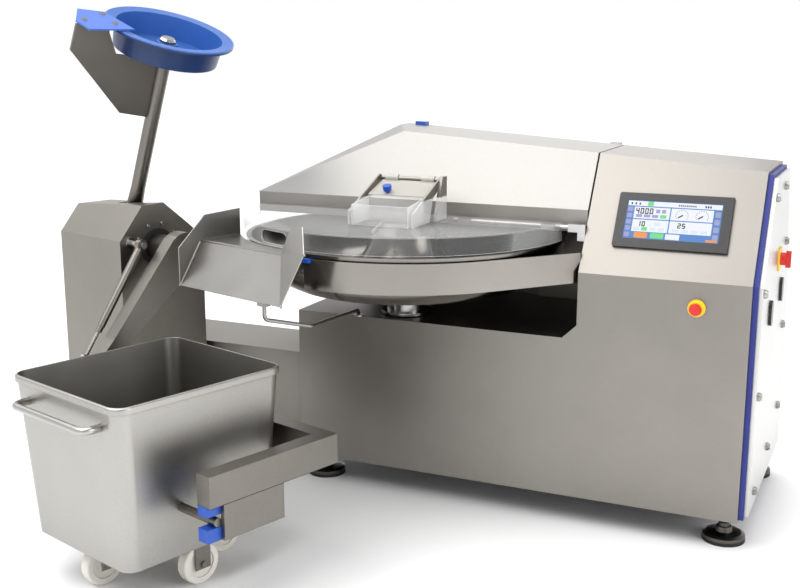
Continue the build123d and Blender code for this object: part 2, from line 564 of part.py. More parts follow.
def loader():
    y, z = LOADER_Y, LOADER_Z
    save("loader_arm", rod((-42, y, z), (ARM_X0, y, z), LOADER_R), at=GROUP)
    arm = px([(118, 1012), (-167, 677), (-375, 470), (-375, 396), (-296, 396), (-286, 466), (-82, 660), (205, 890)],
             ARM_X0, ARM_X1)
    arm += rod((ARM_X0, y, z), (ARM_X1, y, z), 76)
    save("loader_arm", arm, at=GROUP)
    fork = box(ARM_X1, FORK_L, FORK_Y0, FORK_Y1, FORK_Z0, FORK_Z1)
    fork += box(FORK_R, FORK_R + FORK_T, FORK_Y0, FORK_Y1, FORK_Z0, FORK_Z1)
    fork += box(ARM_X1, FORK_R + FORK_T, FORK_Y1 - 60, FORK_Y1, FORK_Z0, FORK_Z1)
    fork += box(FORK_R + FORK_T - 16, FORK_R + FORK_T, -430, -190, 265, FORK_Z0)
    fork += box(ARM_X1, ARM_X1 + 16, -430, -190, 265, FORK_Z0)
    save("loader_fork", fork, at=GROUP)
    blocks = []
    for x0, x1 in ((ARM_X1 + 16, ARM_X1 + 60), (FORK_R, FORK_R + FORK_T - 16)):
        blocks.append(box(x0, x1, -482, -300, 348, FORK_Z0))
        blocks.append(box(x0, x1, -482, -300, 265, PINS_Z - PINS_R - GAP))
        blocks.append(box(x0, x1, -340, -300, PINS_Z - PINS_R - GAP, 348))
    save("fork_guide_blocks", *blocks, at=GROUP)

    d = Vector(0, PIN[0] - STUD[0], PIN[1] - STUD[1])
    length = d.length
    u = d.normalized()
    top = Vector(PIN_X, *STUD)
    barrel = rod(tuple(top + u * 16), tuple(top + u * 340), 15) + rod((PIN_X - 12, *STUD), (PIN_X + 12, *STUD), 22)
    barrel -= rod(tuple(top + u * 60), tuple(top + u * 341), 10)
    barrel -= rod((PIN_X - 13, *STUD), (PIN_X + 13, *STUD), 12 + RUN)
    save("strut_barrel", barrel, at=GROUP)
    save("strut_barrel", tube(tuple(top + u * 340), tuple(top + u * 362), 13, 7 + RUN), at=GROUP)
    low = Vector(PIN_X, *PIN)
    rod_ = rod(tuple(top + u * 110), tuple(low - u * 14), 7) + rod((PIN_X - 9, *PIN), (PIN_X + 9, *PIN), 17)
    rod_ += rod((PIN_X + 9, *PIN), (ARM_X0 - 1, *PIN), 9)
    save("strut_rod", rod_, at=GROUP)


# ---------------------------------------------------------------- trolley
def rounded(l, w, r, z):
    return Pos(TUB_X, TUB_Y, z) * Face(Wire(RectangleRounded(l, w, r).wire().edges()))


def trolley():
    k = 2 * TUB_TAPER
    outer = loft([rounded(TUB_L - k, TUB_W - k, 45, TUB_Z0), rounded(TUB_L - 12, TUB_W - 12, 48, TUB_Z1)])
    inner = loft([rounded(TUB_L - k - 6, TUB_W - k - 6, 42, TUB_Z0 + 4),
                  rounded(TUB_L - 18, TUB_W - 18, 45, TUB_Z1 + 1)])
    rim = extrude(Pos(TUB_X, TUB_Y, TUB_Z1 - 22) * RectangleRounded(TUB_L, TUB_W, 54), amount=22)
    rim = fillet(rim.edges().filter_by(lambda e: abs(e.center().Z - TUB_Z1) < 0.1), 8)
    rim = rim - extrude(Pos(TUB_X, TUB_Y, TUB_Z1 - 30) * RectangleRounded(TUB_L - 16, TUB_W - 16, 46), amount=60)
    tub = (outer - inner) + (rim - outer)
    save("trolley_tub", tub, at=GROUP)

    y0 = TUB_Y - TUB_W / 2
    hz = 620.0
    x0, x1 = TUB_X - 196, TUB_X + 196
    path = FilletPolyline((x0, y0 + 60, hz), (x0, y0 - 48, hz), (x1, y0 - 48, hz), (x1, y0 + 60, hz), radius=30)
    bar = sweep(Plane(origin=(x0, y0 + 60, hz), z_dir=(0, -1, 0)) * Circle(12), path=path)
    save("trolley_handle", bar - outer, at=GROUP)
    pins = [rod((ARM_X1 + 18, PINS_Y, PINS_Z), (TUB_X - 200, PINS_Y, PINS_Z), PINS_R) - outer,
            rod((FORK_R + FORK_T - 18, PINS_Y, PINS_Z), (TUB_X + 200, PINS_Y, PINS_Z), PINS_R) - outer]
    save("trolley_brackets", *pins, at=GROUP)

    z = WHEEL_R
    hw = WHEEL_W / 2
    brackets = []
    axles = []
    for x in (TUB_X - ROLLER_X, TUB_X + ROLLER_X):
        for s in (-1, 1):
            xa = x + s * (hw + 5)
            brackets.append(box(xa - 2.5, xa + 2.5, WX_Y - 30, WX_Y + 30, z - 16, TUB_Z0 - 6))
        brackets.append(box(x - 36, x + 36, WX_Y - 45, WX_Y + 45, TUB_Z0 - 6, TUB_Z0))
        axles.append(rod((x - hw - 14, WX_Y, z), (x + hw + 14, WX_Y, z), 10))
    body = brackets[0]
    for piece in brackets[1:]:
        body += piece
    for piece in axles:
        body -= piece
    save("trolley_brackets", body, at=GROUP)
    save("trolley_brackets", *axles, at=GROUP)
    for name, x in (("left", TUB_X - ROLLER_X), ("right", TUB_X + ROLLER_X)):
        save("wheel_" + name, wheel((x, WX_Y, z), (1, 0, 0)), at=GROUP)
    castor("front", *CASTOR_FRONT)
    castor("rear", *CASTOR_REAR)


WX_Y = TUB_Y + 30


def wheel(c, d):
    c, d = Vector(*c), Vector(*d).normalized()
    hw = WHEEL_W / 2
    body = rod(tuple(c - d * hw), tuple(c + d * hw), WHEEL_R)
    body = fillet(body.edges(), 6)
    for s in (-1, 1):
        body -= tube(tuple(c + d * s * (hw - 6)), tuple(c + d * s * (hw + 4)), 48, 20)
    return body - rod(tuple(c - d * 40), tuple(c + d * 40), 10 + RUN)


TRAIL = 38.0
TRAIL_DIR = (0.0, 1.0)


def castor(name, x, y):
    z = WHEEL_R
    tx, ty = TRAIL_DIR
    length = hypot(tx, ty)
    tx, ty = tx / length, ty / length
    cx, cy = x + TRAIL * tx, y + TRAIL * ty
    turn = degrees(atan2(ty, tx))
    here = Location((cx, cy, 0), (0, 0, turn))
    hw = WHEEL_W / 2
    yoke = rod((-TRAIL, 0, 144), (-TRAIL, 0, 150), 34)
    yoke += box(-TRAIL - 26, 12, -hw - 8, hw + 8, 142, 147)
    for s in (-1, 1):
        yc = s * (hw + 5.5)
        yoke += box(-20, 20, yc - 2.5, yc + 2.5, z - 16, 145)
    yoke += rod((0, -hw - 14, z), (0, hw + 14, z), 10)
    yoke -= rod((-TRAIL, 0, 140), (-TRAIL, 0, 160), 9 + RUN)
    save("castor_" + name + "_yoke", here * yoke, at=GROUP)
    plate_ = box(x - 45, x + 45, y - 38, y + 38, TUB_Z0 - 8, TUB_Z0) + rod((x, y, 143), (x, y, TUB_Z0 - 8), 9)
    save("trolley_brackets", plate_, at=GROUP)
    save("castor_" + name + "_wheel", wheel((cx, cy, z), (-ty, tx, 0)), at=GROUP)


# ---------------------------------------------------------------- chute
def chute():
    t = 4.0
    zl, zb = 879.0, 1032.0
    bend = 100.0
    body = plate([(367, 0, zl), (898, 0, zl), (798, bend, zb), (363, bend, zb)], -t)
    centre = GROUP.inverse() * Pos(BOWL_X, BOWL_Y, 0)
    cx, cy = centre.position.X, centre.position.Y
    floor = pz([(359, bend - 3), (798, bend - 3), (798, 230), (359, 330)], zb - t, zb)
    floor -= rod((cx, cy, 900), (cx, cy, 1200), COVER_R + 7)
    body += floor
    wing = px([(0, zl), (0, 1015), (100, 1102), (120, 1121), (290, 1129), (290, zb - t), (bend, zb - t), (6, zl - t)],
              359, 363)
    wing -= rod((cx, cy, 900), (cx, cy, 1200), COVER_R + 7)
    body += wing
    body += plate([(898, 0, zl), (955, 55, 1052), (798, bend, zb)], t)
    body += plate([(798, bend, zb), (955, 55, 1052), (935, 70, 1142), (854, 88, 1126)], t)
    bend_r = 4.5
    corners = [((898, 0, zl), (798, bend, zb)), ((798, bend, zb), (955, 55, 1052)), ((363, bend, zb - 2), (798, bend, zb - 2)),
               ((361, 2, zl), (361, bend, zb - 2)), ((361, bend, zb - 2), (361, 270, zb - 2))]
    for p, q in corners:
        body += rod(p, q, bend_r)
    for p in ((898, 0, zl), (798, bend, zb), (955, 55, 1052), (361, bend, zb - 2), (361, 2, zl), (361, 270, zb - 2)):
        body += Pos(*p) * Sphere(bend_r)
    body += box(780, 818, -2, 24, zl - 12, zl + 1)
    save("chute", body, at=GROUP)
    foot = GROUP.inverse() * Pos(BOWL_X - 142, BOWL_Y - 137, DECK_Z + 4)
    fx, fy, fz = foot.position.X, foot.position.Y, foot.position.Z
    path = FilletPolyline((799, 14, zl - 12), (799, 14, zl - 60), (830, 200, 768), (fx, fy, fz + 20), (fx, fy, fz),
                          radius=20)
    bar = sweep(Plane(origin=(799, 14, zl - 12), z_dir=(0, 0, -1)) * Circle(7), path=path)
    bar += rod((fx, fy, DECK_Z), (fx, fy, DECK_Z + 6), 20)
    save("chute", bar, at=GROUP)


# ---------------------------------------------------------------- unloader
def unloader():
    lean = radians(UNL_LEAN)
    tilt = radians(UNL_TILT)
    a = Vector(sin(lean) * cos(tilt), -sin(tilt), cos(lean) * cos(tilt))
    s = Vector(-cos(lean), 0, sin(lean))
    t = a.cross(s)
    p = Vector(*UNL)
    centre = p + a * UNL_L

    def at(tt, ss, aa):
        v = centre + t * tt + s * ss + a * aa
        return (v.X, v.Y, v.Z)

    def along(d0, d1, r, r2=None):
        return rod(tuple(p + a * d0), tuple(p + a * d1), r, r2)

    low = UNL_L - 100
    arm = along(0, low - 10, 28) + along(76, 130, 31, 28.5) + along(30, 76, 31) + along(low - 40, low - 6, 32)
    arm += rod((UNL[0], UNL[1] - 38, UNL[2]), (UNL[0], UNL[1] + 38, UNL[2]), 34)
    arm -= rod((UNL[0], UNL[1] - 80, UNL[2]), (UNL[0], UNL[1] + 80, UNL[2]), 18)
    arm -= along(low - 60, low + 5, 14 + RUN)
    save("unloader_arm", arm)
    save("unloader_arm", rod((UNL[0], UNL[1] - 66, UNL[2]), (UNL[0], UNL[1] + 66, UNL[2]), 18))
    axis = Plane(origin=centre, x_dir=t, z_dir=a)
    prof = [(0, -92), (194, -92), (203, -12), (DISC_R - 3, -3), (DISC_R - 3, -10), (DISC_R, -10), (DISC_R, 0),
            (DISC_R - 4, 2), (197, -3), (190, -88), (42, -88), (40, -50), (0, -50)]
    face = Face(Wire.make_polygon([axis.from_local_coords(Vector(r, 0, h)) for r, h in prof], close=True))
    disc = revolve(face, axis=Axis(centre, a))
    save("unloader_disc", disc)
    save("disc_hub_cap", along(UNL_L - 50, UNL_L - 40, 31) + along(UNL_L - 40, UNL_L - 32, 31, 24))
    save("disc_hub_cap", along(low - 58, UNL_L - 92, 14))

    turn = radians(20)
    r_dir = t * cos(turn) + s * sin(turn)
    side_dir = a.cross(r_dir)
    tk = 8.0
    pts = []
    for rho, h in ((20, -350), (149, -331), (391, -94), (386, 4), (252, 4), (252, -20), (208, -102), (20, -116)):
        v = centre + r_dir * rho + a * h - side_dir * (tk / 2)
        pts.append((v.X, v.Y, v.Z))
    side_v = side_dir * tk
    holder = poly(pts, (side_v.X, side_v.Y, side_v.Z)) - along(200, low + 60, 28) - along(low - 41, low - 5, 32)
    save("scraper_holder", holder)
    blade = poly([at(*q, 4) for q in ((371, 62), (351, 144), (237, 239), (150, 188), (184, 18))],
                 (a.X * 6, a.Y * 6, a.Z * 6))
    save("scraper_blade", blade)
    screws = []
    for q in ((313, 140), (180, 172), (218, 80)):
        screws.append(rod(at(*q, 10), at(*q, 16), 11, 8))
    save("scraper_holder", *screws)


base()
side()
panel_parts()
bowl()
knives()
lid()
cover()
column()
loader()
trolley()
chute()
unloader()
write_all()
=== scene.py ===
import json
from math import cos, pi, radians, sin

import bmesh
import bpy
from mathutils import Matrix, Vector

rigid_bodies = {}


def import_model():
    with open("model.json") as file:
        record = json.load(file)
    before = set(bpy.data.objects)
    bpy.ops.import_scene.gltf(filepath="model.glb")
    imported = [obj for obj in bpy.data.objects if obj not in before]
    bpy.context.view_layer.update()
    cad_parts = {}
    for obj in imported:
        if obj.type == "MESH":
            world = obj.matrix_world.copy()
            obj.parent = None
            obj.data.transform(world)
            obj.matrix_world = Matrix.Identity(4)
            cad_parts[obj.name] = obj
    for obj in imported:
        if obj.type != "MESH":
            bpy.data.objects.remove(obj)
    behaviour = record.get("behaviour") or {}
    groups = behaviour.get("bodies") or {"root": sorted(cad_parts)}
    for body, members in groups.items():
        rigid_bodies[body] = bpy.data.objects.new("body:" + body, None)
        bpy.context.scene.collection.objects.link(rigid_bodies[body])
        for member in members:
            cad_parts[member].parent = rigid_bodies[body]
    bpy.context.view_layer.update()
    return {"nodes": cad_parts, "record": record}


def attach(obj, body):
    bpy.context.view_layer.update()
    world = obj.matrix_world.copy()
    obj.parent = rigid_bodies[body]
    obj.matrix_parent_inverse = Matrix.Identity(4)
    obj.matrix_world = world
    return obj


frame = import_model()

NODES = frame["nodes"]
FOOT = Vector((0.058, 0.110, 0.0))          # the part frame's origin, seen from the front panel's corner


def M(x, y, z):
    """Point given in millimetres from the corner of the front panel."""
    return Vector((x / 1000, y / 1000, z / 1000)) - FOOT


# ------------------------------------------------------------------ shader building blocks
def new_mat(name):
    mat = bpy.data.materials.new(name)
    mat.use_nodes = True
    return mat, mat.node_tree, principled(mat.node_tree)


def principled(nt):
    return next(n for n in nt.nodes if n.type == "BSDF_PRINCIPLED")


def feed(nt, socket, value):
    """Puts a number, a colour or another node's output on an input socket."""
    if isinstance(value, (int, float)):
        socket.default_value = value
    elif isinstance(value, tuple):
        socket.default_value = (*value, 1)
    else:
        nt.links.new(value, socket)


def noise(nt, scale, stretch=(1, 1, 1), detail=3.0, rough=0.55):
    tc = nt.nodes.new("ShaderNodeTexCoord")
    mp = nt.nodes.new("ShaderNodeMapping")
    mp.inputs["Scale"].default_value = stretch
    nz = nt.nodes.new("ShaderNodeTexNoise")
    nz.inputs["Scale"].default_value = scale
    nz.inputs["Detail"].default_value = detail
    nz.inputs["Roughness"].default_value = rough
    nt.links.new(tc.outputs["Object"], mp.inputs["Vector"])
    nt.links.new(mp.outputs["Vector"], nz.inputs["Vector"])
    return nz.outputs["Fac"]


def ramp(nt, fac, lo, hi, out_lo=0.0, out_hi=1.0):
    mr = nt.nodes.new("ShaderNodeMapRange")
    mr.inputs["From Min"].default_value = lo
    mr.inputs["From Max"].default_value = hi
    mr.inputs["To Min"].default_value = out_lo
    mr.inputs["To Max"].default_value = out_hi
    nt.links.new(fac, mr.inputs["Value"])
    return mr.outputs["Result"]


def calc(nt, op, *values):
    node = nt.nodes.new("ShaderNodeMath")
    node.operation = op
    for socket, value in zip(node.inputs, values):
        feed(nt, socket, value)
    return node.outputs[0]


def vector_calc(nt, op, a, b=None, out=0):
    """Vector arithmetic on an output socket; b is a fixed vector or another output."""
    node = nt.nodes.new("ShaderNodeVectorMath")
    node.operation = op
    nt.links.new(a, node.inputs[0])
    if isinstance(b, (tuple, Vector)):
        node.inputs[1].default_value = b
    elif b is not None:
        nt.links.new(b, node.inputs[1])
    return node.outputs[out]


def mix_colour(nt, fac, a, b, blend="MIX"):
    node = nt.nodes.new("ShaderNodeMix")
    node.data_type = "RGBA"
    node.blend_type = blend
    feed(nt, node.inputs["Factor"], fac)
    feed(nt, node.inputs["A"], a)
    feed(nt, node.inputs["B"], b)
    return node.outputs["Result"]


def object_axes(nt):
    """The part's own coordinates in metres, which stay with the piece when its body moves."""
    tc = nt.nodes.new("ShaderNodeTexCoord")
    sep = nt.nodes.new("ShaderNodeSeparateXYZ")
    nt.links.new(tc.outputs["Object"], sep.inputs[0])
    return sep.outputs


def bevelled(nt, radius, samples):
    bv = nt.nodes.new("ShaderNodeBevel")
    bv.samples = samples
    bv.inputs["Radius"].default_value = radius
    return bv.outputs["Normal"]


def bump(nt, bsdf, height, strength, distance, bevel=0.0):
    bp = nt.nodes.new("ShaderNodeBump")
    bp.inputs["Strength"].default_value = strength
    bp.inputs["Distance"].default_value = distance
    nt.links.new(height, bp.inputs["Height"])
    if bevel:
        nt.links.new(bevelled(nt, bevel, 4), bp.inputs["Normal"])
    nt.links.new(bp.outputs["Normal"], bsdf.inputs["Normal"])


def repaint(nt, fac, colour, blend="MIX"):
    """Lays a colour over a finished material's base colour where fac is 1."""
    base = principled(nt).inputs["Base Color"]
    nt.links.new(mix_colour(nt, fac, base.links[0].from_socket, colour, blend), base)


def shades(colour, *factors):
    return [tuple(min(1.0, c * f) for c in colour) for f in factors]


# ------------------------------------------------------------------ materials
WHITE = (1, 1, 1)
CREVICE_REACH = 0.45           # metres within which a surface casts painted shade on its neighbour
CREVICE_SPAN = (0.15, 0.80)    # openness from full painted shade to none


def steel(name, colour, rough, stretch=(1, 1, 1), grain=420.0, grain_amount=0.10, blotch=0.12,
          bevel=0.0015, relief=0.08, metal=1.0, painted_shade_tone=0.50):
    """Ground sheet: fine grain, wide blotches, and painted shade that darkens the base colour in corners, gaps
    and under parts.
    """
    mat, nt, b = new_mat(name)
    b.inputs["Metallic"].default_value = metal
    fine = noise(nt, grain, stretch, 2.0)
    wide = noise(nt, 1.7, detail=4.0, rough=0.6)
    dark, light = shades(colour, 1 - blotch, 1 + blotch * 0.6)
    base = mix_colour(nt, ramp(nt, wide, 0.3, 0.7), dark, light)
    specks = mix_colour(nt, ramp(nt, fine, 0.3, 0.7), (1 - grain_amount,) * 3, WHITE)
    base = mix_colour(nt, 1.0, base, specks, "MULTIPLY")
    # painted shade: the base colour is darkened where nearby surfaces close in, as in corners, gaps and under
    # parts
    ao = nt.nodes.new("ShaderNodeAmbientOcclusion")
    ao.samples = 5
    ao.inputs["Distance"].default_value = CREVICE_REACH
    open_sky = ramp(nt, ao.outputs["AO"], *CREVICE_SPAN)
    painted_shade = mix_colour(nt, open_sky, (painted_shade_tone, painted_shade_tone * 0.98, painted_shade_tone * 0.94), WHITE)
    feed(nt, b.inputs["Base Color"], mix_colour(nt, 1.0, base, painted_shade, "MULTIPLY"))
    feed(nt, b.inputs["Roughness"], ramp(nt, wide, 0.25, 0.75, rough - 0.05, rough + 0.07))
    bump(nt, b, fine, relief, 0.0004, bevel)
    return mat


def plastic(name, colour, rough, scale=90.0, relief=0.05, vary=0.10):
    mat, nt, b = new_mat(name)
    fine = noise(nt, scale)
    wide = noise(nt, 6.0)
    shade = shades(colour, 1 - vary)[0]
    feed(nt, b.inputs["Base Color"], mix_colour(nt, ramp(nt, wide, 0.3, 0.7), shade, colour))
    feed(nt, b.inputs["Roughness"], ramp(nt, fine, 0.3, 0.7, rough - 0.04, rough + 0.08))
    bump(nt, b, fine, relief, 0.0003, bevel=0.001)
    return mat


ACRYLIC_IOR = 1.49
EDGE_RADIUS = 0.0022           # width of the painted highlight along a clear sheet's edge
# colour and cover of that painted edge highlight
EDGE_HIGHLIGHT_COLOUR = (0.66, 0.67, 0.67)
EDGE_HIGHLIGHT_ALPHA = 0.80


def clear(name, low=0.05, high=0.24, tint=(0.86, 0.86, 0.85)):
    """Clear sheet whose pale cover grows from low, seen square on, to high at a glance as a painted reflection,
    with painted highlights along its edges.
    """
    mat, nt, b = new_mat(name)
    wide = noise(nt, 3.0)
    fine = noise(nt, 160.0, detail=2.0)
    body = mix_colour(nt, ramp(nt, wide, 0.3, 0.7), shades(tint, 0.93)[0], tint)
    # painted highlight: a pale line where the bevelled normal bends away from the flat one, near an edge
    flat = nt.nodes.new("ShaderNodeNewGeometry").outputs["Normal"]
    bend = vector_calc(nt, "DOT_PRODUCT", bevelled(nt, EDGE_RADIUS, 6), flat, "Value")
    edge = ramp(nt, bend, 0.985, 0.85)
    feed(nt, b.inputs["Base Color"], mix_colour(nt, edge, body, EDGE_HIGHLIGHT_COLOUR))
    feed(nt, b.inputs["Roughness"], ramp(nt, wide, 0.3, 0.7, 0.03, 0.10))
    b.inputs["IOR"].default_value = ACRYLIC_IOR
    # painted reflection: the sheet's pale colour covers more of what lies behind it as the view grows glancing
    rim = nt.nodes.new("ShaderNodeFresnel")
    rim.inputs["IOR"].default_value = ACRYLIC_IOR
    painted_reflection = ramp(nt, rim.outputs["Fac"], 0.04, 0.60, low, high)
    feed(nt, b.inputs["Alpha"], calc(nt, "MAXIMUM", painted_reflection, calc(nt, "MULTIPLY", edge, EDGE_HIGHLIGHT_ALPHA)))
    b.inputs["Specular IOR Level"].default_value = 1.0
    bump(nt, b, fine, 0.02, 0.0002)
    return mat


def glow(name, colour, strength=0.70):
    """Lit part of the display; its base colour stays dark, so that the lamp makes the colour."""
    mat, nt, b = new_mat(name)
    feed(nt, b.inputs["Base Color"],
         mix_colour(nt, ramp(nt, noise(nt, 300.0), 0.2, 0.8), *shades(colour, 0.16, 0.18)))
    b.inputs["Roughness"].default_value = 0.30
    b.inputs["Specular IOR Level"].default_value = 0.2
    b.inputs["Emission Color"].default_value = (*colour, 1)
    b.inputs["Emission Strength"].default_value = strength
    return mat


DISC_CENTRE = M(-397.8, -221.9, 1777.6)        # middle of the disc, level with its rim
DISC_AXIS = Vector((0.3518, -0.0976, 0.9309))
DISC_WALL, DISC_FLARE = 0.1973, 0.0824         # radius of its inner wall there, and the gain per metre up
DISC_SKIN = 0.003


def disc_plastic(name):
    """Blue moulding whose outer wall is darker than its dish, partly its own darker tone and partly painted
    shade.
    """
    mat = plastic(name, (0.034, 0.125, 0.43), 0.33, 120, 0.04, 0.12)
    nt = mat.node_tree
    tc = nt.nodes.new("ShaderNodeTexCoord")
    off = vector_calc(nt, "SUBTRACT", tc.outputs["Object"], DISC_CENTRE)
    height = vector_calc(nt, "DOT_PRODUCT", off, DISC_AXIS, "Value")
    dist = vector_calc(nt, "LENGTH", off, out="Value")
    squared = calc(nt, "SUBTRACT", calc(nt, "MULTIPLY", dist, dist), calc(nt, "MULTIPLY", height, height))
    radius = calc(nt, "SQRT", calc(nt, "MAXIMUM", squared, 0.0))
    wall = calc(nt, "SUBTRACT", radius, calc(nt, "MULTIPLY_ADD", height, DISC_FLARE, DISC_WALL))
    outer_wall_tone_and_shade = calc(nt, "MULTIPLY", calc(nt, "GREATER_THAN", wall, DISC_SKIN),
                   calc(nt, "LESS_THAN", height, -DISC_SKIN))
    # the outer wall's blue is multiplied darker: partly the moulding's own tone, partly painted shade
    repaint(nt, outer_wall_tone_and_shade, (0.06, 0.20, 0.26), "MULTIPLY")
    return mat


SEAM_Z, SEAM_HALF = 0.380, 0.0013


def fork_steel(name):
    """Fork sheet with the dark welded joint between the beam and its lower plate."""
    mat = steel(name, (0.225, 0.21, 0.19), 0.34, BRUSHED, 90, 0.16, 0.14, painted_shade_tone=0.9)
    nt = mat.node_tree
    off = calc(nt, "ABSOLUTE", calc(nt, "SUBTRACT", object_axes(nt)["Z"], SEAM_Z))
    repaint(nt, calc(nt, "LESS_THAN", off, SEAM_HALF), (0.05, 0.047, 0.043))
    return mat


CLEAR_BELOW, STEEL_ABOVE = 1.180, 1.186        # heights between which the hopper's arms turn into steel
CLEAR_WALL, CLEAR_ALPHA = (0.88, 0.88, 0.87), 0.30


def arm_steel(name):
    """Steel arms of the hopper, whose lower ends are the clear side walls."""
    mat = steel(name, WARM, 0.34, painted_shade_tone=0.9)
    nt = mat.node_tree
    b = principled(nt)
    solid = ramp(nt, object_axes(nt)["Z"], CLEAR_BELOW, STEEL_ABOVE)
    sheet = b.inputs["Base Color"].links[0].from_socket
    feed(nt, b.inputs["Base Color"], mix_colour(nt, solid, CLEAR_WALL, sheet))
    feed(nt, b.inputs["Metallic"], solid)
    feed(nt, b.inputs["Alpha"], ramp(nt, solid, 0.0, 1.0, CLEAR_ALPHA, 1.0))
    return mat


GRIPS = ((0.397, 0.457, 0.786, 0.886), (0.102, 0.162, 0.757, 0.857))   # y and z spans of the two grips


def knob_steel(name):
    """Bright screw knobs; the two grips among them are black."""
    mat = steel(name, (0.50, 0.50, 0.49), 0.30, grain=300, grain_amount=0.05, blotch=0.05)
    nt = mat.node_tree
    axes = object_axes(nt)

    def between(value, low, high):
        return calc(nt, "MULTIPLY", calc(nt, "GREATER_THAN", value, low), calc(nt, "LESS_THAN", value, high))

    spots = [calc(nt, "MULTIPLY", between(axes["Y"], y0, y1), between(axes["Z"], z0, z1))
             for y0, y1, z0, z1 in GRIPS]
    grip = calc(nt, "MAXIMUM", *spots)
    repaint(nt, grip, (0.012, 0.012, 0.014))
    feed(nt, principled(nt).inputs["Metallic"], calc(nt, "SUBTRACT", 1.0, grip))
    return mat


WARM = (0.30, 0.283, 0.258)
BRUSHED = (1, 1, 9)            # grain stretched along the sheet
SMOOTH = dict(grain=300, grain_amount=0.05)
MATS = {
    "stainless": steel("stainless_panel", WARM, 0.40),
    "stainless_light": steel("stainless_bright", (0.46, 0.45, 0.43), 0.30),
    "bowl_steel": steel("bowl_polished", (0.36, 0.345, 0.32), 0.18, (1, 1, 6), 60, 0.06, 0.08, 0.002, 0.03,
                        painted_shade_tone=0.26),
    "tub_steel": steel("tub_blasted", (0.43, 0.42, 0.395), 0.34, grain=260, blotch=0.10, bevel=0.003,
                       relief=0.10),
    "blade_steel": steel("blade_polished", (0.55, 0.55, 0.55), 0.18),
    "bright_steel": steel("bright_steel", (0.60, 0.60, 0.60), 0.20, **SMOOTH, blotch=0.05, bevel=0.001,
                          relief=0.02),
    "frame_steel": steel("painted_steel", (0.09, 0.095, 0.10), 0.45, grain=200, blotch=0.2, bevel=0.002,
                         relief=0.05, metal=0.0),
    "motor_grey": plastic("motor_paint", (0.13, 0.17, 0.21), 0.45, 150, 0.2),
    "blue_plastic": plastic("blue_plastic", (0.012, 0.085, 0.46), 0.33, 120, 0.04, 0.12),
    "seal_blue": plastic("seal_blue", (0.012, 0.022, 0.20), 0.5, 120, 0.06, 0.12),
    "clear_plastic": clear("clear_plastic"),
    "nylon_cream": plastic("nylon_cream", (0.80, 0.77, 0.70), 0.45, 140, 0.06, 0.08),
    "black_plastic": plastic("black_plastic", (0.012, 0.012, 0.014), 0.36, 140, 0.06, 0.2),
    "black_rubber": plastic("black_rubber", (0.012, 0.012, 0.012), 0.7, 200, 0.15, 0.2),
    "yellow_plastic": plastic("yellow_plastic", (0.86, 0.56, 0.02), 0.35, 120, 0.04, 0.08),
    "red_plastic": plastic("red_plastic", (0.62, 0.02, 0.012), 0.30, 120, 0.04, 0.1),
    "screen_glass": glow("screen_blue", (0.10, 0.27, 0.66), 0.60),
}
# nodes that the photo shows in another shade than their slot's usual one
DRESS = {
    "hopper_frame": arm_steel("hopper_arms"),
    "hopper_box": clear("hopper_clear", 0.20, 0.75, (0.93, 0.93, 0.92)),
    "hopper_flap": clear("flap_clear", 0.62, 0.80, (0.60, 0.575, 0.52)),
    "knife_lid": steel("lid_sheet", (0.41, 0.40, 0.38), 0.50, painted_shade_tone=0.95),
    "bowl_apron": steel("band_steel", (0.33, 0.31, 0.285), 0.20, BRUSHED, 90, blotch=0.10, painted_shade_tone=0.15),
    "column_housing": steel("column_sheet", (0.275, 0.26, 0.235), 0.38, painted_shade_tone=0.75),
    "chute": steel("chute_steel", (0.37, 0.36, 0.34), 0.32),
    "scraper_holder": steel("plate_steel", (0.24, 0.225, 0.205), 0.36),
    "foot_plates": steel("foot_steel", (0.16, 0.148, 0.135), 0.30, **SMOOTH, blotch=0.10),
    "panel_knobs": knob_steel("knob_steel"),
    # painted light: the side sheet's base colour is made far lighter than the stainless, standing in for light
    # falling on it from the right
    "side_service_panel": steel("side_sheet_painted_light", (0.66, 0.655, 0.645), 0.34),
    "strut_barrel": steel("strut_steel", (0.24, 0.225, 0.205), 0.30, **SMOOTH, blotch=0.08),
    "strut_rod": steel("rod_steel", (0.42, 0.41, 0.39), 0.24, **SMOOTH, blotch=0.05),
    "loader_fork": fork_steel("fork_steel"),
    "loader_arm": steel("arm_steel", (0.25, 0.235, 0.215), 0.36, BRUSHED, 90, 0.14, 0.14),
    "unloader_arm": steel("tube_steel", (0.21, 0.195, 0.175), 0.34, grain=300, grain_amount=0.06, blotch=0.10),
    "unloader_disc": disc_plastic("disc_blue"),
    # painted reflection: a paler blue than the disc stands in for the sheen on the blade's top
    "scraper_blade": plastic("blade_blue_painted_sheen", (0.055, 0.15, 0.56), 0.36, 120, 0.04, 0.10),
}
for sub in frame["record"]["subparts"]:
    ob = NODES.get(sub["node"])
    if ob is None:
        continue
    targets = [ob] if ob.type == "MESH" else [c for c in ob.children_recursive if c.type == "MESH"]
    for t in targets:
        t.data.materials.clear()
        t.data.materials.append(DRESS.get(sub["node"], MATS[sub["material_slot"]]))


# ------------------------------------------------------------------ picture on the display
PANEL_TILT = radians(58.3)     # the inclined front's angle from level
PANEL_FOOT = 943               # height of its lower edge
GLASS = 10.9                   # the picture starts just under the display's glass


def face_pt(x, s, h):
    """Point on the inclined front: x along it, s up the slope, h out of it, in millimetres."""
    c, d = cos(PANEL_TILT), sin(PANEL_TILT)
    return M(x, s * c - h * d, PANEL_FOOT + s * d + h * c)


def slab(bm, outline, h0, h1):
    low = [bm.verts.new(face_pt(x, s, h0)) for x, s in outline]
    top = [bm.verts.new(face_pt(x, s, h1)) for x, s in outline]
    bm.faces.new(low)
    bm.faces.new(top)
    n = len(outline)
    for i in range(n):
        bm.faces.new((low[i], low[(i + 1) % n], top[(i + 1) % n], top[i]))


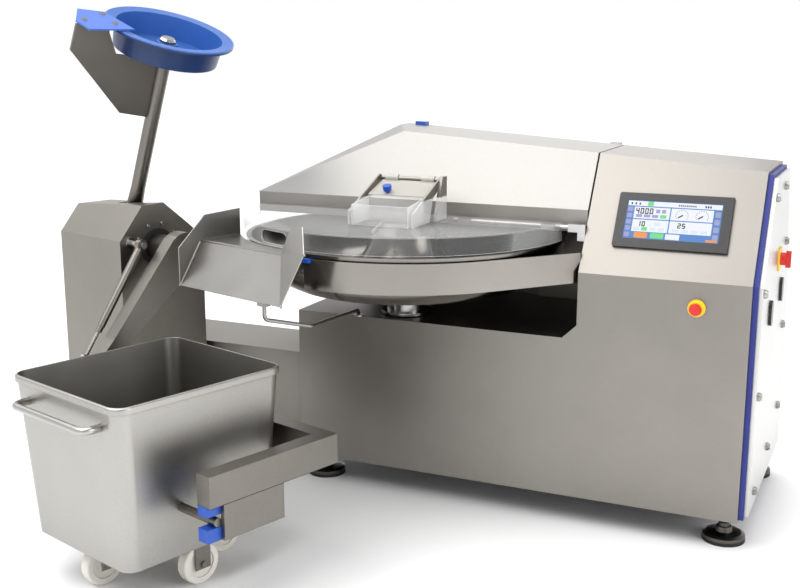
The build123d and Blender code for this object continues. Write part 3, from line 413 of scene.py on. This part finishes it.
def soft_rect(x0, x1, s0, s1, r=2.0):
    """Rectangle with rounded corners of radius r."""
    pts = []
    for cx, cs, a0 in ((x1 - r, s1 - r, 0), (x0 + r, s1 - r, 90), (x0 + r, s0 + r, 180), (x1 - r, s0 + r, 270)):
        for k in range(4):
            a = radians(a0 + 30 * k)
            pts.append((cx + r * cos(a), cs + r * sin(a)))
    return pts


def row(n, x, pitch, w, s0, s1, r):
    return [soft_rect(x + k * pitch, x + k * pitch + w, s0, s1, r) for k in range(n)]


def ring(cx, cs, r, n):
    return [(cx + r * cos(2 * pi * k / n), cs + r * sin(2 * pi * k / n)) for k in range(n)]


def ui(name, colour, outlines, h=11.15, strength=0.70):
    """One piece of the picture: flat slabs of one colour, up to the height h."""
    bm = bmesh.new()
    for pts in outlines:
        slab(bm, pts, GLASS, h)
    me = bpy.data.meshes.new("ui_" + name)
    bmesh.ops.recalc_face_normals(bm, faces=bm.faces)
    bm.to_mesh(me)
    bm.free()
    me.materials.append(glow("ui_" + name, colour, strength))
    ob = bpy.data.objects.new("ui_" + name, me)
    bpy.context.scene.collection.objects.link(ob)
    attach(ob, "machine")


SEGMENTS = {"0": "abcdef", "1": "bc", "2": "abdeg", "4": "bcfg", "5": "acdfg"}


def digits(text, x, pitch, s, w, hgt, t):
    """Seven-segment digits of width w, height hgt and stroke t."""
    bars = []
    for ch in text:
        m = s + hgt / 2
        spots = {"a": (x, x + w, s + hgt - t, s + hgt), "g": (x, x + w, m - t / 2, m + t / 2),
                 "d": (x, x + w, s, s + t), "f": (x, x + t, m, s + hgt), "b": (x + w - t, x + w, m, s + hgt),
                 "e": (x, x + t, s, m), "c": (x + w - t, x + w, s, m)}
        bars += [soft_rect(*spots[k], r=t / 2.2) for k in SEGMENTS[ch]]
        x += pitch
    return bars


LEFT, RIGHT, TOP = 1258, 1583, 283             # edges of the picture
ui("panels", (0.86, 0.89, 0.96), [
    soft_rect(LEFT + 2, RIGHT - 2, TOP - 20, TOP - 2, 1),
    soft_rect(LEFT + 26, 1408, 215, 259), soft_rect(1412, RIGHT - 28, 215, 259),
    soft_rect(LEFT + 26, 1408, 166, 211), soft_rect(1412, RIGHT - 28, 166, 211),
    soft_rect(1404, 1452, 142, 162)])
ui("icons", (0.36, 0.36, 0.62),
   [soft_rect(LEFT + 3, LEFT + 21, 145 + k * 24, 162 + k * 24, 3) for k in range(5)]
   + [soft_rect(RIGHT - 22, RIGHT - 4, 150 + k * 28, 170 + k * 28, 3) for k in range(4)]
   + row(4, 1292, 28, 22, 220, 231, 2) + row(2, 1360, 20, 14, 238, 252, 2), 11.3)
ui("green", (0.18, 0.72, 0.25), [soft_rect(1352, 1398, 143, 163, 3), soft_rect(1328, 1348, 264, 281, 3),
                                 soft_rect(1376, 1398, 219, 232, 2), soft_rect(1318, 1338, 170, 184, 2)], 11.35)
ui("orange", (0.95, 0.32, 0.05), [soft_rect(1296, 1342, 143, 163, 3), soft_rect(1540, 1578, 142, 150, 2)],
   11.35)
dark = digits("4000", 1290, 16, 233, 12, 22, 3.6)
dark += digits("10", 1302, 15, 186, 11, 19, 3.4) + digits("25", 1440, 15, 186, 11, 19, 3.4)
dark += row(9, 1434, 7, 4, 268, 274, 1) + row(3, 1270, 14, 5, 267, 275, 1) + row(3, 1524, 8, 5, 267, 275, 1)
for cx in (1450, 1518):        # two dials, each an arc of dots and a needle
    for k in range(12):
        a = radians(-30 + 240 * k / 11)
        dark.append(ring(cx + 21 * cos(a), 234 + 20 * sin(a), 1.5, 8))
    dark.append([(cx - 14, 227), (cx - 12, 223), (cx + 4, 234), (cx + 2, 238)])
ui("marks", (0.02, 0.02, 0.05), dark, 11.45, 0.0)
ui("pale", (0.70, 0.80, 0.95),
   row(1, 1290, 29, 20, 170, 183, 2) + row(2, 1348, 29, 20, 170, 183, 2) + row(4, 1424, 32, 22, 170, 181, 2)
   + [soft_rect(1360, 1380, 190, 203, 2)], 11.25)

# ------------------------------------------------------------------ floor
bm = bmesh.new()
bmesh.ops.create_grid(bm, x_segments=1, y_segments=1, size=60)
me = bpy.data.meshes.new("floor")
bm.to_mesh(me)
bm.free()
floor = bpy.data.objects.new("floor", me)
bpy.context.scene.collection.objects.link(floor)
fmat, fnt, fb = new_mat("floor_pale")
fb.inputs["Roughness"].default_value = 0.6
fb.inputs["Specular IOR Level"].default_value = 0.25
feed(fnt, fb.inputs["Base Color"], mix_colour(fnt, noise(fnt, 1.5), (0.90, 0.90, 0.90), (0.93, 0.93, 0.93)))
me.materials.append(fmat)

# ------------------------------------------------------------------ light
# colour by the sine of the height above the horizon: white low down, grey overhead
SKY = ((0.0, (1.0, 1.0, 1.0, 1)), (0.40, (1.0, 1.0, 1.0, 1)),
       (0.58, (0.45, 0.45, 0.46, 1)), (1.0, (0.42, 0.42, 0.43, 1)))
UNLIT_SIDE = (0.50, -0.866, 0.0)       # where the photographer stands
UNLIT_LEVEL = 0.35

world = bpy.data.worlds.new("studio")
bpy.context.scene.world = world
world.use_nodes = True
wn = world.node_tree
bg = next(n for n in wn.nodes if n.type == "BACKGROUND")
look = wn.nodes.new("ShaderNodeTexCoord").outputs["Generated"]
sep = wn.nodes.new("ShaderNodeSeparateXYZ")
wn.links.new(look, sep.inputs[0])
sky = wn.nodes.new("ShaderNodeValToRGB")
stops = sky.color_ramp.elements
stops[0].color, stops[1].color = SKY[0][1], SKY[-1][1]
for place, colour in SKY[1:-1]:
    stops.new(place).color = colour
wn.links.new(sep.outputs["Z"], sky.inputs["Fac"])
facing = vector_calc(wn, "DOT_PRODUCT", look, UNLIT_SIDE, "Value")
shade = ramp(wn, facing, 0.86, 0.97, 1.0, UNLIT_LEVEL)
seen = wn.nodes.new("ShaderNodeLightPath").outputs["Is Camera Ray"]
dim = wn.nodes.new("ShaderNodeVectorMath")
dim.operation = "SCALE"
wn.links.new(sky.outputs["Color"], dim.inputs[0])
wn.links.new(calc(wn, "MAXIMUM", shade, seen), dim.inputs["Scale"])
wn.links.new(dim.outputs[0], bg.inputs["Color"])


def aim(ob, direction):
    """Points a lamp and puts it in the scene."""
    ob.rotation_euler = Vector(direction).to_track_quat("-Z", "Y").to_euler()
    bpy.context.scene.collection.objects.link(ob)


def area(name, loc, target, size, power):
    li = bpy.data.lights.new(name, "AREA")
    li.shape = "DISK"
    li.size = size
    li.energy = power
    ob = bpy.data.objects.new(name, li)
    ob.location = loc
    aim(ob, Vector(target) - Vector(loc))


sun = bpy.data.lights.new("overhead", "SUN")
sun.energy = 2.9
sun.angle = radians(78)
aim(bpy.data.objects.new("overhead", sun), (0.30, 0.0, -0.954))
area("front_top", (-0.4, -2.8, 4.2), (1.3, 0.0, 1.1), 3.4, 75)
area("right", (4.6, -1.4, 2.6), (1.2, 0.3, 0.7), 2.5, 70)
area("back", (-0.2, 4.4, 2.7), (0.5, 0.2, 1.1), 3.0, 24)

# ------------------------------------------------------------------ camera, as fitted to the photo
SENSOR_MM = 36.0
FOCAL_PX, PHOTO_PX = 1137.0, 800.0
LOOKS_DOWN, TURNED = 12.2, 24.5        # degrees below level, and from the y axis

cam_data = bpy.data.cameras.new("camera")
cam_data.sensor_width = SENSOR_MM
cam_data.lens = SENSOR_MM * FOCAL_PX / PHOTO_PX
cam_data.clip_end = 200
cam = bpy.data.objects.new("camera", cam_data)
cam.location = M(2174, -3808, 1710)
cam.rotation_euler = (radians(90 - LOOKS_DOWN), 0.0, radians(TURNED))
bpy.context.scene.collection.objects.link(cam)
bpy.context.scene.camera = cam
bpy.context.scene.view_settings.view_transform = "Standard"


bpy.context.view_layer.update()
